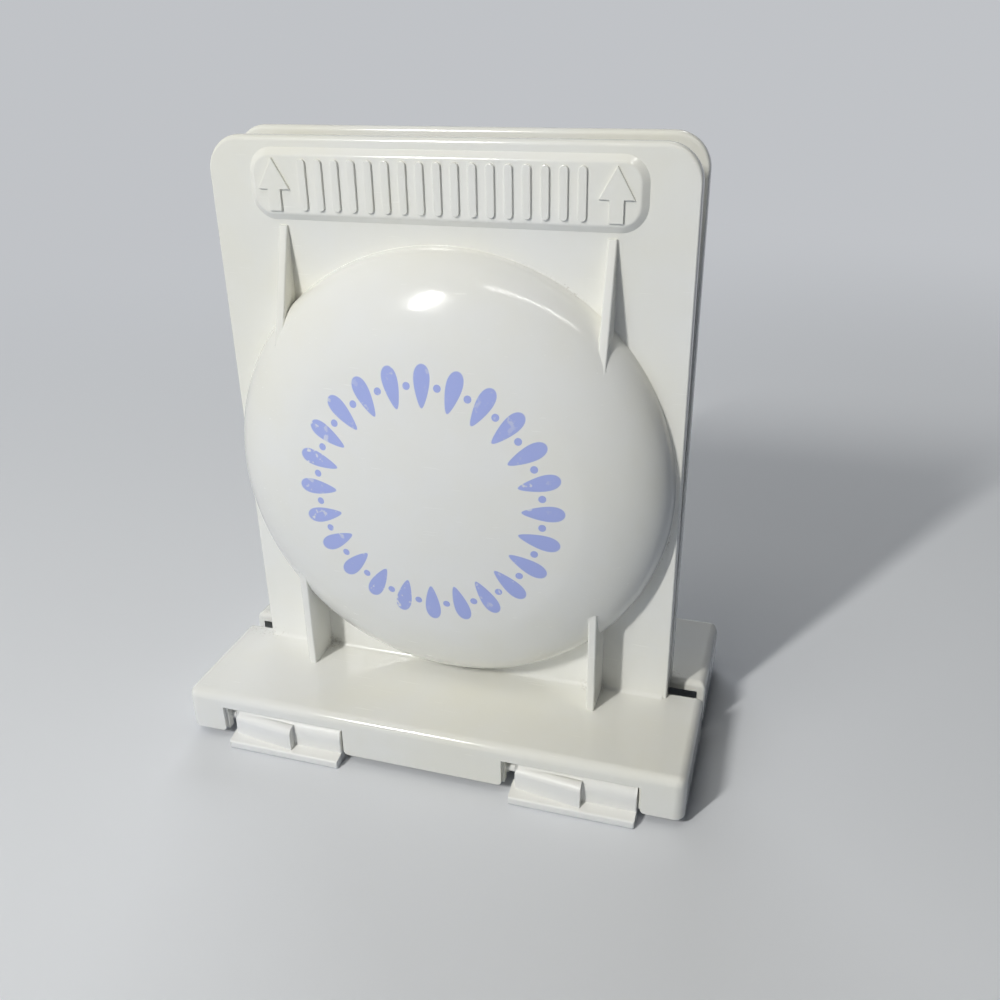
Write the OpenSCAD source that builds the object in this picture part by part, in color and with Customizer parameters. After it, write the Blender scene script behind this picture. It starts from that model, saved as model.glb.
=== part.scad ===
// Bagel holder for halving a bagel with a kitchen knife.
// Two equal mouldings stand face to face with a knife gap between them. Each one is a skirted base,
// an upright plate and a dome that holds one side of the bagel. Two links lie under the bases, and
// each moulding swings outward on two hinge pins that run through the ends of the links.
// Origin: middle of the footprint, on the table. +X right, -Y towards the front, +Z up.

/* [Base shells] */
// Width of each base shell
base_w = 170; // [160:1:210]
// Depth of each base shell, from the knife gap to its outer face
base_d = 43.2; // [36:0.2:60]
// Height of each base shell, from the lower edge of its skirt to its top
base_h = 15; // [14.5:0.5:24]
// Height of the skirt's lower edge above the table
skirt_lift = 3.5; // [3.4:0.1:6]
// Wall of the base shell
base_wall = 2.8; // [2:0.1:3.4]
// Rounding of the top edges of the base
base_edge_r = 3; // [1:0.2:4]
// Rounding of the upright corners at the outer face
base_corner_r = 3.6; // [1:0.2:6]
// Rounding of the upright corners at the knife gap
base_slot_r = 1.2; // [0.4:0.1:2]
// Rounding of the top edge along the knife gap, at both ends of the plate
base_slot_edge_r = 2; // [1:0.1:2.6]
// Depth of the lip along the knife gap
lip_h = 3.6; // [3:0.1:5]

/* [Upright plates] */
// Width of each plate
plate_w = 146.4; // [146:0.2:150]
// Height of each plate above the base
plate_h = 175; // [172:1:220]
// Thickness of each plate
plate_t = 4.2; // [3:0.1:6]
// Gap between the plates, where the knife runs
knife_gap = 5; // [4.6:0.1:8]
// Radius of the top corners of a plate
plate_corner_r = 10.5; // [3:0.5:14]
// Rounding of both top edges of a plate
plate_top_r = 1.6; // [0.4:0.1:2]
// Rounding of the side edges of a plate
plate_side_r = 0.6; // [0.2:0.1:1]
// Fillet where a plate stands on its base
plate_foot_r = 1.4; // [0.5:0.1:2]

/* [Dome] */
// Outer radius of the dome at the plate
dome_r = 71.6; // [60:0.2:72]
// Height of the dome's lowest point above the base
dome_lift = 2.4; // [1.5:0.1:4]
// How far the shoulder of the dome would rise if it ran on to the middle
dome_rise = 24; // [16:0.5:32]
// How square the shoulder is, where 2 is an ellipse
dome_square = 2.3; // [2:0.1:3]
// Radius of the flatter crown on the front
crown_r = 47.5; // [30:0.5:52]
// How far the crown rises over its own edge
crown_rise = 4.2; // [2:0.1:5]
// Wall of the dome
dome_wall = 2.8; // [2:0.1:3.4]
// Fillet where the dome leaves the plate
dome_foot_r = 1; // [0.4:0.1:1.4]

/* [Gussets] */
// Distance of each gusset from the middle
gusset_x = 50; // [44:0.5:56]
// Thickness of a gusset
gusset_t = 2.7; // [1.6:0.1:4]
// Reach of the lower gussets in front of the plate
gusset_low_reach = 13.2; // [8:0.2:16]
// Distance from the grip panel down to the upper gussets' tips
gusset_tip_gap = 1.6; // [0.5:0.1:3]
// Reach of an upper gusset where it ends inside the dome
gusset_top_reach = 12.7; // [8:0.1:13]

/* [Grip panel] */
// Width of the grip panel
panel_w = 119; // [100:1:124]
// Height of the grip panel
panel_h = 20.6; // [18:0.2:22]
// Distance from the top of the plate to the middle of the panel
panel_drop = 13.5; // [12:0.5:16]
// Corner radius of the panel
panel_r = 7.5; // [4:0.5:9]
// Height of the panel over the plate
panel_rise = 1.5; // [0.8:0.1:2.4]
// Width of the bevel round the panel
panel_bevel = 2; // [1:0.1:3]
// Number of raised grip ribs
rib_count = 17; // [7:2:17]
// Distance between grip ribs
rib_pitch = 5.2; // [4:0.1:5.2]
// Width of a grip rib
rib_w = 2.4; // [1.4:0.1:2.8]
// Length of a grip rib
rib_len = 14.6; // [8:0.2:15]
// Height of ribs and arrows over the panel
relief_h = 0.8; // [0.4:0.1:1.2]
// Width of an arrow head
arrow_w = 10; // [7:0.5:11]
// Height of an arrow
arrow_h = 15; // [10:0.5:15]
// Height of an arrow's head
arrow_head_h = 8.8; // [5:0.2:9]
// Width of an arrow's stem
arrow_stem_w = 4; // [2:0.2:5]

/* [Links and hinges] */
// Distance of each link's notch from the middle
notch_x = 49.4; // [45:0.2:52]
// Width of a link
link_w = 40; // [30:0.5:44]
// Thickness of a link
link_t = 3; // [2.4:0.1:3.2]
// How far the toe of a link stands out in front of the skirt
toe_reach = 3.8; // [3.2:0.2:6]
// Height of the toe's front face
toe_h = 2.8; // [2:0.1:3.2]
// Height of the sloping ledge where it meets the eye
ledge_z = 4.4; // [3.4:0.1:5]
// Outer radius of the eye at the end of a link
eye_r = 5; // [4:0.1:5.4]
// Height of the hinge axis above the table
hinge_z = 7.8; // [7:0.1:8.2]
// How far the rear moulding is swung out at rest, in degrees
rear_lean = 2.2; // [0:0.1:4]
// Radius of a hinge pin
pin_r = 1.5; // [1:0.1:2]
// Clearance between a pin and the eye, on the radius
pin_clear = 0.08; // [0.05:0.01:0.1]
// Side play of a link between its cheeks
link_play = 2.8; // [1:0.1:3.4]
// Thickness of the hinge cheeks inside the base
cheek_t = 3; // [2:0.1:4]
// How much narrower the eye is than the link, at its left end
eye_inset = 1.2; // [0.4:0.1:2]
// How far the stop ramp on a link's end stands out at its step
ramp_reach = 2.6; // [2.4:0.1:2.8]
// Length of the stop ramp
ramp_len = 21.6; // [16:0.2:26]
// Height of the ramp's rounded top above the hinge axis
ramp_top = 3.4; // [3:0.1:3.6]
// Width of the rib that rests on each link
foot_w = 30; // [16:1:36]

/* [Hidden] */

$fn = 96;

// Clearance between faces that touch, and the depth that a joined form is sunk into its neighbour
seat_gap = 0.3;
sink = 0.6;
// A cut runs this far past the face it opens
over = 1;
// A form runs this little into the wall that it grows from or stops at
bite = 0.1;

base_top = skirt_lift + base_h;
inner_y = knife_gap / 2;
outer_y = inner_y + base_d;
plate_y = inner_y + plate_t;
dome_cz = base_top + dome_lift + dome_r;
plate_top = base_top + plate_h;
hinge_y = outer_y - eye_r;

// The notch in the skirt: its side play, and its head room over the eye
cheek_gap = link_w + link_play;
notch_margin = 0.7;
notch_w = cheek_gap + 2 * notch_margin;
notch_head = 0.5;
notch_top = hinge_z + eye_r + notch_head;
notch_corner_r = 1.5;

// A link lies against one cheek, as the photographed one does
link_shift = link_play / 2 - seat_gap;

// The cheek reaches from the skirt to a little behind the pin
cheek_back = hinge_y - eye_r - 1;
saddle_clear = 0.02;
saddle_mouth = 1.6 * pin_r;
pin_len = cheek_gap + 2 * cheek_t - 2 * seat_gap;

panel_z = plate_top - panel_drop;

// Height over the dome's centre at which the dome's foot passes a gusset
gusset_foot_z = sqrt(pow(dome_r, 2) - pow(gusset_x, 2));
// How far the gussets run into the dome, measured along Z
gusset_run = 14;

function power(v, p) = pow(max(v, 0), p);

// Depth of the shoulder at radius r, on a shell of outer radius R and rise h
function shoulder_y(r, R, h) = h * power(1 - pow(r / R, dome_square), 1 / dome_square);

// Points of the shoulder from its foot to the edge of the crown, evenly spread in angle
function shoulder_points(R, h, from_y, to_r) = [
    for (t = [0:5:90])
        let (r = R * power(cos(t), 2 / dome_square), y = h * power(sin(t), 2 / dome_square))
        if (y > from_y + 0.3 && r > to_r + 0.8) [r, y]
];

// Points of the crown from its edge to the middle: a shallow spherical cap
function crown_points(r0, y0, rise) =
    let (cap_r = (r0 * r0 + rise * rise) / (2 * rise), half_angle = asin(r0 / cap_r))
    [for (k = [0:8])
        let (a = half_angle * (1 - k / 8))
        [cap_r * sin(a), y0 + rise - cap_r * (1 - cos(a))]];

// Rectangle with four round corners, centred
module rounded_rect(w, h, r) {
    square([w - 2 * r, h], center = true);
    square([w, h - 2 * r], center = true);
    for (x = [-1, 1], y = [-1, 1])
        translate([x * (w / 2 - r), y * (h / 2 - r)]) circle(r);
}

// Rectangle from y = low to y = high whose two upper corners are round
module arched_rect(w, low, high, r) {
    translate([-w / 2, low]) square([w, high - low - r]);
    translate([-w / 2 + r, low]) square([w - 2 * r, high - low]);
    for (x = [-1, 1])
        translate([x * (w / 2 - r), high - r]) circle(r);
}

// Rectangle between two x and two y values whose upper left corner is round
module one_round_rect(x0, x1, low, high, r) {
    translate([x0, low]) square([x1 - x0, high - low - r]);
    translate([x0 + r, low]) square([x1 - x0 - r, high - low]);
    translate([x0 + r, high - r]) circle(r);
}

// What a rounding of radius r takes off a corner at the origin, to the left of it and below it
module corner_waste(r) {
    difference() {
        translate([-r, -r]) square(r + over);
        translate([-r, -r]) circle(r);
    }
}

// Profile drawn in X and Z, pushed along Y from y0 to y1
module along_y(y0, y1) {
    translate([0, y1, 0]) rotate([90, 0, 0]) linear_extrude(y1 - y0) children();
}

// Profile drawn in Y and Z, pushed along X from x0 to x1
module along_x(x0, x1) {
    translate([x0, 0, 0]) rotate([90, 0, 90]) linear_extrude(x1 - x0) children();
}

// Plan of a base, with one radius at the outer corners and another at the knife gap
module base_plan(w, front, back, outer_r, slot_r) {
    translate([-w / 2, front + outer_r]) square([w, back - slot_r - front - outer_r]);
    translate([-w / 2 + outer_r, front]) square([w - 2 * outer_r, outer_r + slot_r]);
    translate([-w / 2 + slot_r, back - 2 * slot_r]) square([w - 2 * slot_r, 2 * slot_r]);
    for (s = [-1, 1]) {
        translate([s * (w / 2 - outer_r), front + outer_r]) circle(outer_r);
        translate([s * (w / 2 - slot_r), back - slot_r]) circle(slot_r);
    }
}

// Block with round upright corners and round top edges: the outside or the inside of a base
module base_block(inset, low, high, edge_r, corner_r, inner_end) {
    w = base_w - 2 * inset;
    front = -outer_y + inset;
    intersection() {
        translate([0, 0, low])
            linear_extrude(high - low) base_plan(w, front, inner_end, corner_r, min(base_slot_r, corner_r));
        along_y(front, inner_end) arched_rect(w, low, high, edge_r);
        along_x(-w / 2, w / 2) one_round_rect(front, inner_end, low, high, edge_r);
    }
}

module notch_profile() {
    flare = notch_corner_r;
    translate([-notch_w / 2, skirt_lift - over]) square([notch_w, notch_top - skirt_lift + over]);
    for (s = [-1, 1])
        translate([s * notch_w / 2, skirt_lift]) difference() {
            translate([-flare, -over]) square([2 * flare, flare + over]);
            translate([s * flare, flare]) circle(flare);
            translate([s * flare - flare, flare]) square([2 * flare, flare]);
        }
}

// Skirted shell, open below and towards the knife gap, with a notch for each link
module base_shell() {
    inner_r = max(base_corner_r - base_wall, 0.5);
    roof = base_top - base_wall;
    difference() {
        base_block(0, skirt_lift, base_top, base_edge_r, base_corner_r, -inner_y);
        // the hollow stops short of the lip, and below the lip it runs out into the gap
        difference() {
            base_block(base_wall, skirt_lift - over, roof, inner_r, inner_r, -inner_y + 3 * over);
            translate([-base_w / 2, -inner_y - base_wall, base_top - lip_h])
                cube([base_w, base_wall + 4 * over, lip_h]);
        }
        for (s = [-1, 1])
            translate([s * notch_x, 0, 0])
                along_y(-outer_y - over, -outer_y + base_wall + bite) notch_profile();
        slot_edge_rounding();
    }
}

// The lip's top edge is rounded past the two ends of the plate
module slot_edge_rounding() {
    run = (base_w - plate_w) / 2 + over;
    for (start = [-base_w / 2 - over, plate_w / 2])
        translate([0, -inner_y, base_top])
            along_x(start, start + run) corner_waste(base_slot_edge_r);
}

// Ribs under the plate, which rest on the links
module foot_ribs() {
    low = link_t + seat_gap;
    for (s = [-1, 1])
        translate([s * notch_x - foot_w / 2, -inner_y - base_wall, low])
            cube([foot_w, base_wall, base_top - sink - low]);
}

// Two cheeks at each notch, with a saddle that the pin snaps into from below
module hinge_cheeks() {
    front = -outer_y + base_wall - bite;
    cheek_h = base_top - base_wall - skirt_lift + bite;
    for (s = [-1, 1], e = [-1, 1])
        translate([s * notch_x + e * (cheek_gap / 2 + cheek_t / 2), 0, 0])
            difference() {
                translate([-cheek_t / 2, front, skirt_lift])
                    cube([cheek_t, -cheek_back - front, cheek_h]);
                translate([0, -hinge_y, hinge_z]) rotate([0, 90, 0])
                    cylinder(r = pin_r + saddle_clear, h = cheek_t + 2 * over, center = true);
                translate([-cheek_t, -hinge_y - saddle_mouth / 2, skirt_lift - over])
                    cube([2 * cheek_t, saddle_mouth, hinge_z - skirt_lift + over]);
            }
}

module plate_outline() {
    arched_rect(plate_w, base_top - sink, plate_top, plate_corner_r);
}

// Upright plate: its outline, with the edges eased at the sides and rounded at the top
module upright_plate() {
    mid_y = -(inner_y + plate_y) / 2;
    intersection() {
        along_y(-plate_y, -inner_y) plate_outline();
        along_x(-plate_w / 2, plate_w / 2)
            translate([mid_y, 0]) arched_rect(plate_t, base_top - sink, plate_top, plate_top_r);
        translate([0, mid_y, base_top - sink])
            linear_extrude(plate_h + sink) rounded_rect(plate_w, plate_t, plate_side_r);
    }
}

// Concave fillet along the foot of the plate
module plate_fillet() {
    f = plate_foot_r;
    along_x(-plate_w / 2 + f, plate_w / 2 - f) difference() {
        translate([-plate_y - f, base_top - sink]) square([f + sink, f + sink]);
        translate([-plate_y - f, base_top + f]) circle(f);
    }
}

// Points of the outside of the dome, from the plate to the middle of the crown
function dome_outside() =
    let (f = dome_foot_r, edge = shoulder_y(crown_r, dome_r, dome_rise))
    concat(
        [for (a = [270:-15:180]) [dome_r + f + f * cos(a), f + f * sin(a)]],
        shoulder_points(dome_r, dome_rise, f, crown_r),
        crown_points(crown_r, edge, crown_rise)
    );

// Points of the inside, one wall thinner
function dome_inside() =
    let (R = dome_r - dome_wall, rim = plate_t - dome_wall, h = dome_rise,
         edge = shoulder_y(crown_r - dome_wall / 3, R, h))
    concat(
        [[R, rim]],
        [for (p = shoulder_points(R, h, 0, crown_r - dome_wall / 3)) [p[0], p[1] + rim]],
        [for (p = crown_points(crown_r - dome_wall / 3, edge, crown_rise)) [p[0], p[1] + rim]]
    );

module dome_body() {
    translate([0, -plate_y, dome_cz]) rotate([90, 0, 0])
        rotate_extrude() polygon(concat([[0, -sink], [dome_r + dome_foot_r, -sink]], dome_outside()));
}

module dome_hollow() {
    translate([0, -inner_y, dome_cz]) rotate([90, 0, 0])
        rotate_extrude() polygon(concat([[0, -over], [dome_r - dome_wall, -over]], dome_inside()));
}

// A fin that starts at nothing under the panel and runs out onto the dome
module upper_gusset() {
    tip = panel_z - panel_h / 2 - gusset_tip_gap;
    low = dome_cz + gusset_foot_z - gusset_run;
    polygon([[-plate_y + sink, tip], [-plate_y, tip], [-plate_y - gusset_top_reach, low],
             [-plate_y + sink, low]]);
}

// An upright web from the base to the underside of the dome
module lower_gusset() {
    high = dome_cz - gusset_foot_z + gusset_run;
    polygon([[-plate_y + sink, base_top - sink], [-plate_y - gusset_low_reach, base_top - sink],
             [-plate_y - gusset_low_reach, high], [-plate_y + sink, high]]);
}

module gussets() {
    for (s = [-1, 1])
        translate([s * gusset_x, 0, 0])
            along_x(-gusset_t / 2, gusset_t / 2) {
                upper_gusset();
                lower_gusset();
            }
}

// Raised tablet with a bevel all round
module panel_tablet() {
    x = panel_w / 2 - panel_r;
    z = panel_h / 2 - panel_r;
    rise = panel_rise;
    bevel = panel_bevel;
    module trapezoid(w) {
        polygon([[-w / 2, -sink], [w / 2, -sink], [w / 2, 0], [w / 2 - bevel, rise],
                 [-w / 2 + bevel, rise], [-w / 2, 0]]);
    }
    for (sx = [-1, 1], sz = [-1, 1])
        translate([sx * x, sz * z, 0]) {
            translate([0, 0, -sink]) cylinder(r = panel_r, h = sink);
            cylinder(r1 = panel_r, r2 = panel_r - bevel, h = rise);
        }
    rotate([90, 0, 90]) translate([0, 0, -x]) linear_extrude(2 * x) trapezoid(panel_h);
    rotate([90, 0, 0]) translate([0, 0, -z]) linear_extrude(2 * z) trapezoid(panel_w);
}

module grip_rib() {
    straight = rib_len - rib_w;
    linear_extrude(relief_h + sink) {
        square([rib_w, straight], center = true);
        for (s = [-1, 1])
            translate([0, s * straight / 2]) circle(rib_w / 2);
    }
}

module arrow() {
    tip = arrow_h / 2;
    neck = tip - arrow_head_h;
    linear_extrude(relief_h + sink) {
        polygon([[0, tip], [arrow_w / 2, neck], [-arrow_w / 2, neck]]);
        translate([-arrow_stem_w / 2, -tip]) square([arrow_stem_w, arrow_h - arrow_head_h + sink]);
    }
}

// Panel with a plain row of ribs, and an upward arrow at each end
module grip_panel() {
    arrow_x = panel_w / 2 - panel_bevel - arrow_w / 2 - 1.5;
    translate([0, -plate_y, panel_z]) rotate([90, 0, 0]) {
        panel_tablet();
        translate([0, 0, panel_rise - sink]) {
            for (k = [0:rib_count - 1])
                translate([(k - (rib_count - 1) / 2) * rib_pitch, 0, 0]) grip_rib();
            for (s = [-1, 1])
                translate([s * arrow_x, 0, 0]) arrow();
        }
    }
}

// One moulding: base shell, plate, dome, gussets, grip panel and hinge cheeks in one piece
module holder_half() {
    difference() {
        union() {
            base_shell();
            foot_ribs();
            hinge_cheeks();
            upright_plate();
            plate_fillet();
            dome_body();
            gussets();
            grip_panel();
        }
        dome_hollow();
    }
}

module front_holder() {
    color([0.87, 0.87, 0.83]) holder_half();
}

// The same moulding turned half round, and swung out about its own hinge
module rear_holder() {
    color([0.87, 0.87, 0.83])
        translate([0, hinge_y, hinge_z]) rotate([-rear_lean, 0, 0]) translate([0, -hinge_y, -hinge_z])
            rotate([0, 0, 180]) holder_half();
}

// Side view of a link's end: a flat strap, and a toe whose ledge slopes down to a blunt nose
module strap_profile() {
    nose_r = 0.6;
    toe = outer_y + toe_reach;
    translate([-outer_y, 0]) square([outer_y, link_t]);
    polygon([[-outer_y + sink, 0], [-toe + nose_r, 0], [-toe, nose_r], [-toe, toe_h - nose_r],
             [-toe + nose_r, toe_h], [-outer_y, ledge_z], [-outer_y + sink, ledge_z]]);
    for (z = [nose_r, toe_h - nose_r])
        translate([-toe + nose_r, z]) circle(nose_r);
}

// Side view of the eye that stands up behind the toe
module eye_profile() {
    translate([-hinge_y - eye_r, link_t - sink]) square([2 * eye_r, hinge_z - link_t + sink]);
    translate([-hinge_y, hinge_z]) circle(eye_r);
}

// Stop ramp: it leaves the eye's face at the left, stands out, and ends in a step.
// The upper edge of the skirt's notch comes down on it when the moulding has swung out.
module stop_ramp() {
    face = -hinge_y - eye_r;
    left = -link_w / 2 + eye_inset;
    crest = hinge_z + ramp_top - ramp_reach;
    foot = link_t - sink;
    intersection() {
        translate([left + ramp_len, face, 0]) rotate([0, 0, -atan(ramp_reach / ramp_len)])
            along_x(-2 * ramp_len, ramp_len) {
                translate([0, crest]) circle(ramp_reach);
                translate([-ramp_reach, foot]) square([2 * ramp_reach, crest - foot]);
            }
        translate([left, face - toe_reach, foot])
            cube([ramp_len, toe_reach + eye_r, hinge_z + ramp_top - foot]);
    }
}

module link_end() {
    eye_corner_r = 1.2;
    strap_corner_r = 1.5;
    eye_w = link_w - eye_inset;
    reach = outer_y + toe_reach;
    difference() {
        union() {
            intersection() {
                along_x(-link_w / 2, link_w / 2) strap_profile();
                linear_extrude(ledge_z) translate([0, -reach / 2 + strap_corner_r])
                    rounded_rect(link_w, reach + 2 * strap_corner_r, strap_corner_r);
            }
            translate([eye_inset / 2, 0, 0]) intersection() {
                along_x(-eye_w / 2, eye_w / 2) eye_profile();
                along_y(-reach, 0) arched_rect(eye_w, 0, hinge_z + eye_r, eye_corner_r);
            }
            stop_ramp();
        }
        along_x(-link_w, link_w) translate([-hinge_y, hinge_z]) circle(pin_r + pin_clear);
    }
}

// Both ends are alike, so a link looks the same when it is turned half round
module link(side) {
    translate([side * notch_x + link_shift, 0, 0]) {
        link_end();
        rotate([0, 0, 180]) link_end();
    }
}

module left_link() {
    color([0.9, 0.9, 0.87]) link(-1);
}

module right_link() {
    color([0.9, 0.9, 0.87]) link(1);
}

// A plain pin, held in the two cheeks of one notch
module hinge_pin(side, end) {
    chamfer = 0.4;
    color([0.93, 0.93, 0.91])
        translate([side * notch_x, end * hinge_y, hinge_z]) rotate([0, 90, 0]) {
            cylinder(r = pin_r, h = pin_len - 2 * chamfer, center = true);
            for (s = [-1, 1])
                translate([0, 0, s * (pin_len / 2 - chamfer)]) mirror([0, 0, s < 0 ? 1 : 0])
                    cylinder(r1 = pin_r, r2 = pin_r - chamfer, h = chamfer);
        }
}

module front_left_pin() {
    hinge_pin(-1, -1);
}

module front_right_pin() {
    hinge_pin(1, -1);
}

module rear_left_pin() {
    hinge_pin(-1, 1);
}

module rear_right_pin() {
    hinge_pin(1, 1);
}

front_holder();
rear_holder();
left_link();
right_link();
front_left_pin();
front_right_pin();
rear_left_pin();
rear_right_pin();
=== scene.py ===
# %% [markdown]
# This lesson builds the looks of an old white bagel holder. Two equal plastic mouldings face each other
# over a narrow gap, and a bread knife runs down the gap to halve the bagel between their domes.
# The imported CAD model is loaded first, because it says where every piece is. The two mouldings and the
# two links are then modelled anew with soft edges, and the hinge pins keep their CAD meshes.

# %% Load the frame
import math
import bpy
from mathutils import Matrix, Vector


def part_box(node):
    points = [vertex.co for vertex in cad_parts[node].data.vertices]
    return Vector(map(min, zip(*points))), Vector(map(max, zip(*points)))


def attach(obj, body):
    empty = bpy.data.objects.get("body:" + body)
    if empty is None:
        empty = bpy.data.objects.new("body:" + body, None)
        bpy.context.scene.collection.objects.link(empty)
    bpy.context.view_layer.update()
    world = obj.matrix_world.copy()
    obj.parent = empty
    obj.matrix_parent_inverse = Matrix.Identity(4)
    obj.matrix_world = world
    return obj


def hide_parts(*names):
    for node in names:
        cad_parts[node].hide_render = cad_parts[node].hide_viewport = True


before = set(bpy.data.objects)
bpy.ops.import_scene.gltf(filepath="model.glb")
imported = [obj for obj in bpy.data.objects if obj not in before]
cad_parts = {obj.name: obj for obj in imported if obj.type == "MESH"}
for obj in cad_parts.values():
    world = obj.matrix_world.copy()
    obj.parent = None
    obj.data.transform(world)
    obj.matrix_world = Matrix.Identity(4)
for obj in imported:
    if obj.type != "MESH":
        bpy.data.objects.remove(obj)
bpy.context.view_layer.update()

print("nodes:", sorted(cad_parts))

# %% [markdown]
# The camera comes first, so that every later step can be judged in the photograph's own view. A real
# camera could be matched by eye, but here a fit of straight edges gave its place, its three angles and
# its focal length. The matrix applies them in order: place, turn about Z, tilt down, and a slight roll.

# %% Camera
MM = 0.001
camera_place = Vector((101.2, -277.8, 222.1)) * MM
camera_turn = math.radians(17.38)
camera_tilt = math.radians(90 - 25.81)
camera_roll = math.radians(-0.98)
focal_pixels = 989.8
image_pixels = 1000
sensor_width = 36

camera_data = bpy.data.cameras.new("photo_camera")
camera_data.sensor_width = sensor_width
camera_data.lens = focal_pixels / image_pixels * sensor_width
camera_data.clip_start = 0.01
camera = bpy.data.objects.new("photo_camera", camera_data)
bpy.context.scene.collection.objects.link(camera)
camera.matrix_world = (Matrix.Translation(camera_place) @ Matrix.Rotation(camera_turn, 4, "Z")
                       @ Matrix.Rotation(camera_tilt, 4, "X") @ Matrix.Rotation(camera_roll, 4, "Z"))
bpy.context.scene.camera = camera
print("lens", round(camera_data.lens, 2), "mm")

# %% [markdown]
# The sizes are those of the CAD part, in millimetres. What the frame can tell is read from the boxes of
# its nodes, and the rest are the moulding's own walls, radii and steps.

# %% Sizes of the moulding
holder_low, holder_high = (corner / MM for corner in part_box("front_holder"))
base_half = holder_high.x
outer_y = -holder_low.y
inner_y = -holder_high.y
plate_top = holder_high.z
skirt_low = 3.5
base_top = 18.5
wall = 2.8
plate_half = 73.2
plate_y = inner_y + 4.2
roof = base_top - wall
rear_lean = math.radians(2.2)
print("base half width", round(base_half, 2), "plate top", round(plate_top, 2), "gap", round(2 * inner_y, 2))

# %% [markdown]
# Every operator acts on what is selected, and the loaded nodes are selected. So each helper here first
# clears the selection and then picks one object. Edges are picked in code, by where their two ends lie.

# %% Selection helpers
def only(obj):
    bpy.ops.object.select_all(action="DESELECT")
    obj.select_set(True)
    bpy.context.view_layer.objects.active = obj


def near(value, target, reach=0.05):
    return abs(value - target) < reach


def ends(obj, edge):
    return [obj.data.vertices[i].co / MM for i in edge.vertices]


def edit_edges(obj, test):
    """Enters edit mode with those edges selected whose two ends, in millimetres, pass the test."""
    only(obj)
    bpy.ops.object.mode_set(mode="EDIT")
    bpy.ops.mesh.select_mode(type="EDGE")
    bpy.ops.mesh.select_all(action="DESELECT")
    bpy.ops.object.mode_set(mode="OBJECT")
    for edge in obj.data.edges:
        edge.select = test(*ends(obj, edge))
    picked = sum(edge.select for edge in obj.data.edges)
    bpy.ops.object.mode_set(mode="EDIT")
    return picked


def edit_faces(obj, test):
    """Enters edit mode with those faces selected whose centre and normal pass the test."""
    only(obj)
    bpy.ops.object.mode_set(mode="EDIT")
    bpy.ops.mesh.select_mode(type="FACE")
    bpy.ops.mesh.select_all(action="DESELECT")
    bpy.ops.object.mode_set(mode="OBJECT")
    for face in obj.data.polygons:
        face.select = test(face.center / MM, face.normal)
    bpy.ops.object.mode_set(mode="EDIT")


def leave_edit():
    bpy.ops.object.mode_set(mode="OBJECT")


# %% [markdown]
# A mould is milled as solids that are joined and cut, so the moulding is built in the same way. Each
# solid starts as a cube between two corners. Its edges are then rounded by a Bevel modifier that reads a
# weight on each edge, because one pass with different widths gives clean corners where they meet.

# %% Solid helpers
def block(name, low, high):
    """A box between two corners, in millimetres."""
    bpy.ops.object.select_all(action="DESELECT")
    low, high = Vector(low), Vector(high)
    bpy.ops.mesh.primitive_cube_add(size=1, location=(low + high) / 2 * MM, scale=(high - low) * MM)
    bpy.ops.object.transform_apply(location=True, rotation=True, scale=True)
    obj = bpy.context.active_object
    obj.name = name
    return obj


def apply_modifiers(obj):
    only(obj)
    for modifier in list(obj.modifiers):
        bpy.ops.object.modifier_apply(modifier=modifier.name)


def round_edges(obj, segments, radius_of):
    """Rounds each edge by the radius, in millimetres, that radius_of gives for its two ends."""
    radii = [radius_of(*ends(obj, edge)) for edge in obj.data.edges]
    largest = max(radii)
    weights = obj.data.attributes.new("bevel_weight_edge", "FLOAT", "EDGE")
    for item, radius in zip(weights.data, radii):
        item.value = radius / largest
    rounding = obj.modifiers.new("rounding", "BEVEL")
    rounding.limit_method = "WEIGHT"
    rounding.width = largest * MM
    rounding.segments = segments
    apply_modifiers(obj)
    obj.data.attributes.remove(obj.data.attributes["bevel_weight_edge"])


def combine(target, tool, operation):
    """Joins the tool to the target, or cuts it out, and removes the tool."""
    change = target.modifiers.new("solid", "BOOLEAN")
    change.operation = operation
    change.solver = "EXACT"
    change.object = tool
    apply_modifiers(target)
    bpy.data.objects.remove(tool)


def copy_of(obj, name, matrix):
    """A copy with its own mesh, moved by the matrix."""
    twin = bpy.data.objects.new(name, obj.data.copy())
    bpy.context.scene.collection.objects.link(twin)
    twin.data.transform(matrix)
    twin.data.update()
    return twin


def moved(x=0.0, y=0.0, z=0.0):
    return Matrix.Translation(Vector((x, y, z)) * MM)


# %% [markdown]
# The base is a shallow skirted tray, open below, which stiffens the foot of the plate. Its outer corners
# and top edges are well rounded, and the edge along the knife gap less. It starts as a cube. A second,
# smaller cube cuts the hollow, and a third opens it towards the gap below a short lip.

# %% Base shell
corner_r = 3.6
top_edge_r = 3
slot_edge_r = 2
slot_corner_r = 1.2
hollow_edge_r = 2.2
lip_low = base_top - 3.6
hair = 0.02


def base_radius(a, b):
    upright = near(a.x, b.x) and near(a.y, b.y)
    at_gap = near(a.y, b.y) and a.y > -outer_y + 1
    if upright:
        return slot_corner_r if at_gap else corner_r
    if near(a.z, base_top) and near(b.z, base_top):
        return slot_edge_r if at_gap else top_edge_r
    return 0


def hollow_radius(a, b):
    return 0 if min(a.z, b.z) < skirt_low else hollow_edge_r


base = block("base", (-base_half, -outer_y, skirt_low), (base_half, -inner_y - hair, base_top))
round_edges(base, 6, base_radius)
hollow = block("hollow", (-base_half + wall, -outer_y + wall, 0), (base_half - wall, -inner_y - wall, roof))
round_edges(hollow, 4, hollow_radius)
combine(base, hollow, "DIFFERENCE")
gap_side = block("gap_side", (-base_half + wall, -inner_y - wall - 1, 0), (base_half - wall, 0, lip_low))
combine(base, gap_side, "DIFFERENCE")
print("base:", len(base.data.polygons), "faces")

# %% [markdown]
# A notch in the skirt shows the end of each link. The lower corners of the skirt beside it are eased, and
# the whole rim gets a hair of rounding, because a moulded edge always catches a line of light.

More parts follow.
